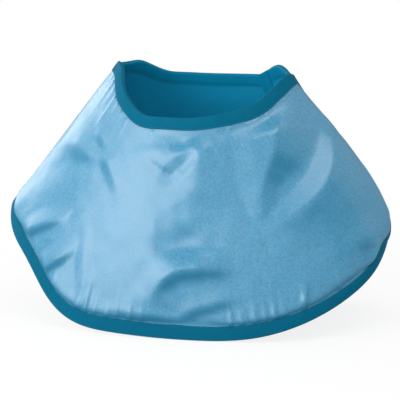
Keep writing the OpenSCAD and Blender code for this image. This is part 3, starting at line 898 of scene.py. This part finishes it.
def surface(tree, shader, value, rough, height, relief, shine):
    """Sets how rough a finish is and how a value changes that, its relief and its shine."""
    base, change = rough
    strength, depth = relief
    roughness = math_of(tree, "ADD", base, math_of(tree, "MULTIPLY", value, change))
    tree.links.new(roughness, shader.inputs["Roughness"])
    bump = put(tree, "ShaderNodeBump", {"Strength": strength, "Distance": depth, "Height": height})
    tree.links.new(bump.outputs[0], shader.inputs["Normal"])
    shader.inputs["Specular IOR Level"].default_value = shine


# Painted shade in the folds: how much of its sheen the cover loses there, and the share of its colour that it
# keeps there
painted_shade_strength = 0.85
painted_shade_level = 0.62


def coated_cloth(name, colour, pitch):
    """Satin coated cloth: weave and grain under a soft sheen, with painted shade on its colour along its
    seams and in its folds, and on its sheen in the folds.
    """
    material, tree, shader, place, cut = new_finish(name)
    grainy, grain = mottled(tree, place, colour, (0.05, 0.10), (0.0028, 1.28))
    seam = vertex_value(tree, "seam")
    # Painted shade: the colour darkens within 8 mm of a binding's seam
    painted_seam_shade = put(tree, "ShaderNodeMapRange", {0: seam, 1: 0.0, 2: 0.008, 3: 0.25, 4: 0.0})
    fold_shade_mask = math_of(tree, "MULTIPLY", vertex_value(tree, "painted_fold_shade"), painted_shade_strength)
    painted_shade_mask = math_of(tree, "MAXIMUM", painted_seam_shade.outputs[0], fold_shade_mask)
    # The colour of the painted shade in the folds and along the seams
    shade = tuple(painted_shade_level * c for c in colour[:3]) + (1,)
    tree.links.new(blend_colour(tree, painted_shade_mask, grainy, shade), shader.inputs["Base Color"])
    # Painted shade: the sheen is dimmed where the cover faces down into a fold
    tree.links.new(math_of(tree, "SUBTRACT", 1.0, fold_shade_mask), shader.inputs["Specular Tint"])
    threads = grouped(tree, weave, {"Place": cut, "Pitch": pitch})["Height"]
    height = math_of(tree, "ADD", threads, math_of(tree, "MULTIPLY", grain, 3.0))
    surface(tree, shader, grain, (0.27, 0.30), height, (0.3, 0.00006), 1.0)
    shader.inputs["IOR"].default_value = 1.58
    return material


def woven_tape(name, colour, painted_light_inner_colour, pitch):
    """Binding tape: close ribs, a slight sheen, paler wear along the bend and an inner half painted lighter
    against the shade inside the cape.
    """
    material, tree, shader, place, cut = new_finish(name)
    # Painted light: the tape's inner half is lighter, against the shade inside the cape
    base = blend_colour(tree, vertex_value(tree, "inner"), colour, painted_light_inner_colour)
    broad = grouped(tree, spots, {"Place": place, "Colour": base, "Patch": 0.02, "Amount": 0.25})
    fine = grouped(tree, spots, {"Place": place, "Colour": broad["Colour"], "Patch": 0.0018, "Amount": 0.30})
    wear = math_of(tree, "MULTIPLY", broad["Value"], 0.25)
    rubbed = math_of(tree, "MULTIPLY", vertex_value(tree, "worn"), wear)
    pale = tuple(min(1, 0.05 + 1.5 * c) for c in colour[:3]) + (1,)
    tree.links.new(blend_colour(tree, rubbed, fine["Colour"], pale), shader.inputs["Base Color"])
    threads = grouped(tree, weave, {"Place": cut, "Pitch": pitch})["Height"]
    surface(tree, shader, fine["Value"], (0.55, 0.2), threads, (0.5, 0.0002), 0.05)
    return material


def plain_cloth(name, colour, pitch, roughness):
    """Lining and the ground of the closure tapes: an even woven finish."""
    material, tree, shader, place, cut = new_finish(name)
    even, grain = mottled(tree, place, colour, (0.03, 0.12), (0.0015, 0.2))
    tree.links.new(even, shader.inputs["Base Color"])
    threads = grouped(tree, weave, {"Place": cut, "Pitch": pitch})["Height"]
    surface(tree, shader, grain, (roughness, 0.15), threads, (0.4, 0.0002), 0.15)
    return material


def grained(name, colour, size, roughness):
    """Thread, vinyl, hooks and loops: an uneven colour over a fine grain of a size in metres."""
    material, tree, shader, place, _ = new_finish(name)
    uneven, grain = mottled(tree, place, colour, (0.03, 0.15), (size, 0.35))
    tree.links.new(uneven, shader.inputs["Base Color"])
    surface(tree, shader, grain, (roughness, 0.2), grain, (0.4, 0.0002), 0.3)
    return material


cover_finish = coated_cloth("cover_cloth", (0.016, 0.226, 0.398, 1), 0.0011)
lining_finish = plain_cloth("lining_cloth", (0.001, 0.265, 0.46, 1), 0.0006, 0.55)
# The binding's second colour is its inner half, painted lighter against the shade inside the cape
binding_finish = woven_tape("binding_tape", (0.0005, 0.115, 0.202, 1), (0.0005, 0.21, 0.37, 1), 0.0009)
thread_finish = grained("seam_thread", (0.004, 0.16, 0.28, 1), 0.0006, 0.4)
vinyl_finish = grained("lead_vinyl", (0.10, 0.115, 0.125, 1), 0.0020, 0.45)
strip_finish = plain_cloth("closure_ground", (0.004, 0.09, 0.16, 1), 0.0008, 0.6)
loop_finish = grained("loop_pile", (0.006, 0.11, 0.19, 1), 0.0010, 0.6)
hook_finish = grained("hook_rows", (0.004, 0.08, 0.14, 1), 0.0010, 0.35)


# Pieces

stitch = modelled(one_stitch)
pieces = {}
for panel in (FRONT, BACK):
    pieces[panel + "_cover"] = make_cover(panel, cover_finish)
    pieces[panel + "_lining"] = make_lining(panel, lining_finish)
    pieces[panel + "_shield_outer"] = make_ply(panel, "_outer_ply", ply_in, ply_out, vinyl_finish)
    pieces[panel + "_shield_inner"] = make_ply(panel, "_inner_ply", -ply_out, -ply_in, vinyl_finish)
    for side in ("neck", "hem", "edge"):
        pieces["%s_%s_binding" % (panel, side)] = make_binding(panel, side, binding_finish)
        pieces["%s_%s_thread" % (panel, side)] = make_stitches(panel, side, stitch, thread_finish)
pieces["loop_tape"] = make_tape_strip(FRONT, "loop_strip", loop_in, 1, strip_finish)
pieces["hook_tape"] = make_tape_strip(BACK, "hook_strip", hook_out, -1, strip_finish)

# The fold's axis, from front to back and a little on the slant, read from the joint, and a direction square
# to it. The model's parts are hidden; back pieces and the hook tape go with the back panel, the loop tape and
# the edge pieces with the front panel, and the rest keep their places
hinge = frame["joints"][0]
axis = np.array(hinge["axis"], float)
away = np.cross(axis, (0, 1, 0))
away = away / np.linalg.norm(away) * (-1 if away[2] * axis[2] < 0 else 1)
for node, piece in pieces.items():
    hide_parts(node)
    if node.startswith("back") or node == "hook_tape":
        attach(piece, "back_panel")
    elif node == "loop_tape" or "edge" in node:
        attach(piece, "front_panel")
    else:
        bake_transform(piece)

# Hooks, loops and the stitches that hold their tapes
loops = make_pile(FRONT, "loop_pile", modelled(one_loop), loop_in, 1, 1, loop_finish)
hooks = make_pile(BACK, "hook_rows", modelled(one_hook), hook_out, -1, 0, hook_finish)
loop_seam = make_tape_seam(FRONT, "loop_strip_stitches", stitch, loop_in, 1, thread_finish)
hook_seam = make_tape_seam(BACK, "hook_strip_stitches", stitch, hook_out, -1, thread_finish)
for piece, name, body in ((loops, "loop_tape", "front_panel"),
                          (hooks, "hook_tape", "back_panel"),
                          (loop_seam, "seam_thread", "front_panel"),
                          (hook_seam, "seam_thread", "back_panel")):
    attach(piece, body)


def cut_size(panel, inset):
    """Width, length and area of a panel laid flat."""
    flat = flat_places(panel, *panel_grid(panel, 200, 60, inset))
    across, down = flat[1:, :-1] - flat[:-1, 1:], flat[1:, 1:] - flat[:-1, :-1]
    area = np.abs(across[..., 0] * down[..., 1] - across[..., 1] * down[..., 0]).sum() / 2
    width, length = np.ptp(flat.reshape(-1, 2), axis=0)
    return (width, length), area


# Each layer, what it lies on, and how far its edges are from the cut edge
layers = [("cover", "_outer_ply", 0), ("shield_outer", "_inner_ply", ply_inset),
          ("shield_inner", "_lining_cloth", ply_inset), ("lining", None, 0)]
for panel in (FRONT, BACK):
    for layer, under, inset in layers:
        flat, area = cut_size(panel, inset)


# Floor, light and camera

cape_middle = Vector((0, 0, -0.180))
view_azimuth, view_elevation, view_distance = 13, 11, 2.6
picture_w = 0.572
sensor_w = 36
# The cape's middle lies a little right of the picture's centre and above it
aim_shift = (0.0029, 0.0143)
world_level = 0.32
floor_size = 60
# The floor's shadow shows most within the first distance of the middle and is gone at the second
shadow_fade = (0.4, 0.9)
shadow_white = 0.84
# Name, azimuth, elevation, distance, size and power of each lamp
lamps = [("key", -37, 15, 2.0, (1.6, 1.0), 24), ("side", -117, 18, 2.0, (1.0, 0.7), 12),
         ("left", -80, 32, 2.0, (1.4, 0.8), 6), ("top", 40, 61, 1.8, (1.4, 0.8), 12),
         ("right", 114, 34, 2.2, (2.6, 1.8), 9), ("front", 15, 17, 2.2, (2.2, 0.9), 5.5)]


def make_floor(height):
    """A pale floor that shows white past the cape's shadow."""
    bpy.ops.object.select_all(action="DESELECT")
    bpy.ops.mesh.primitive_plane_add(size=floor_size, location=(0, 0, height))
    floor = bpy.context.object
    floor.name = "floor"
    bpy.ops.object.transform_apply(location=True, rotation=True, scale=True)
    material = bpy.data.materials.new("pale_floor")
    material.use_nodes = True
    tree = material.node_tree
    tree.nodes.clear()
    pale = put(tree, "ShaderNodeBsdfDiffuse", {"Color": (0.93, 0.93, 0.93, 1)}).outputs[0]
    white = put(tree, "ShaderNodeEmission", {"Color": (1, 1, 1, 1), "Strength": 1.0}).outputs[0]
    path = put(tree, "ShaderNodeLightPath").outputs
    seen = math_of(tree, "MAXIMUM", path["Is Camera Ray"], path["Is Transmission Ray"])
    seen = math_of(tree, "MAXIMUM", seen, path["Is Glossy Ray"])
    place = put(tree, "ShaderNodeTexCoord").outputs["Object"]
    far = put(tree, "ShaderNodeVectorMath", {0: place}, operation="LENGTH").outputs["Value"]
    near, end = shadow_fade
    fade = put(tree, "ShaderNodeMapRange", {0: far, 1: near, 2: end, 3: shadow_white, 4: 1.0}).outputs[0]
    share = math_of(tree, "MULTIPLY", seen, fade)
    mixed = put(tree, "ShaderNodeMixShader", {0: share, 1: pale, 2: white}).outputs[0]
    put(tree, "ShaderNodeOutputMaterial", {"Surface": mixed})
    floor.data.materials.append(material)
    floor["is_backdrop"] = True


def make_world(level):
    world = bpy.data.worlds.new("studio")
    bpy.context.scene.world = world
    world.use_nodes = True
    tree = world.node_tree
    tree.nodes.clear()
    light = put(tree, "ShaderNodeBackground", {"Color": (1, 1, 1, 1), "Strength": level}).outputs[0]
    put(tree, "ShaderNodeOutputWorld", {"Surface": light})


def from_object(azimuth, elevation):
    """Direction from the object: azimuth 0 is in front of it and positive ones lie towards +X."""
    a, e = math.radians(azimuth), math.radians(elevation)
    return Vector((math.sin(a) * math.cos(e), -math.cos(a) * math.cos(e), math.sin(e)))


def make_lamp(name, azimuth, elevation, distance, size, power):
    lamp = bpy.data.lights.new(name, "AREA")
    lamp.shape = "RECTANGLE"
    lamp.size, lamp.size_y = size
    lamp.energy = power
    holder = bpy.data.objects.new(name, lamp)
    back = from_object(azimuth, elevation)
    holder.location = cape_middle + back * distance
    holder.rotation_euler = (-back).to_track_quat("-Z", "Y").to_euler()
    bpy.context.scene.collection.objects.link(holder)


def make_camera():
    back = from_object(view_azimuth, view_elevation)
    right = Vector((math.cos(math.radians(view_azimuth)), math.sin(math.radians(view_azimuth)), 0))
    up = back.cross(right)
    aim = cape_middle - right * aim_shift[0] - up * aim_shift[1]
    camera = bpy.data.objects.new("camera", bpy.data.cameras.new("camera"))
    camera.data.sensor_width = sensor_w
    camera.data.lens = sensor_w * view_distance / picture_w
    camera.location = aim + back * view_distance
    camera.rotation_euler = (-back).to_track_quat("-Z", "Y").to_euler()
    bpy.context.scene.collection.objects.link(camera)
    bpy.context.scene.camera = camera


make_floor(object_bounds()[0].z)
make_world(world_level)
for lamp in lamps:
    make_lamp(*lamp)
make_camera()
bpy.context.scene.view_settings.view_transform = "Standard"
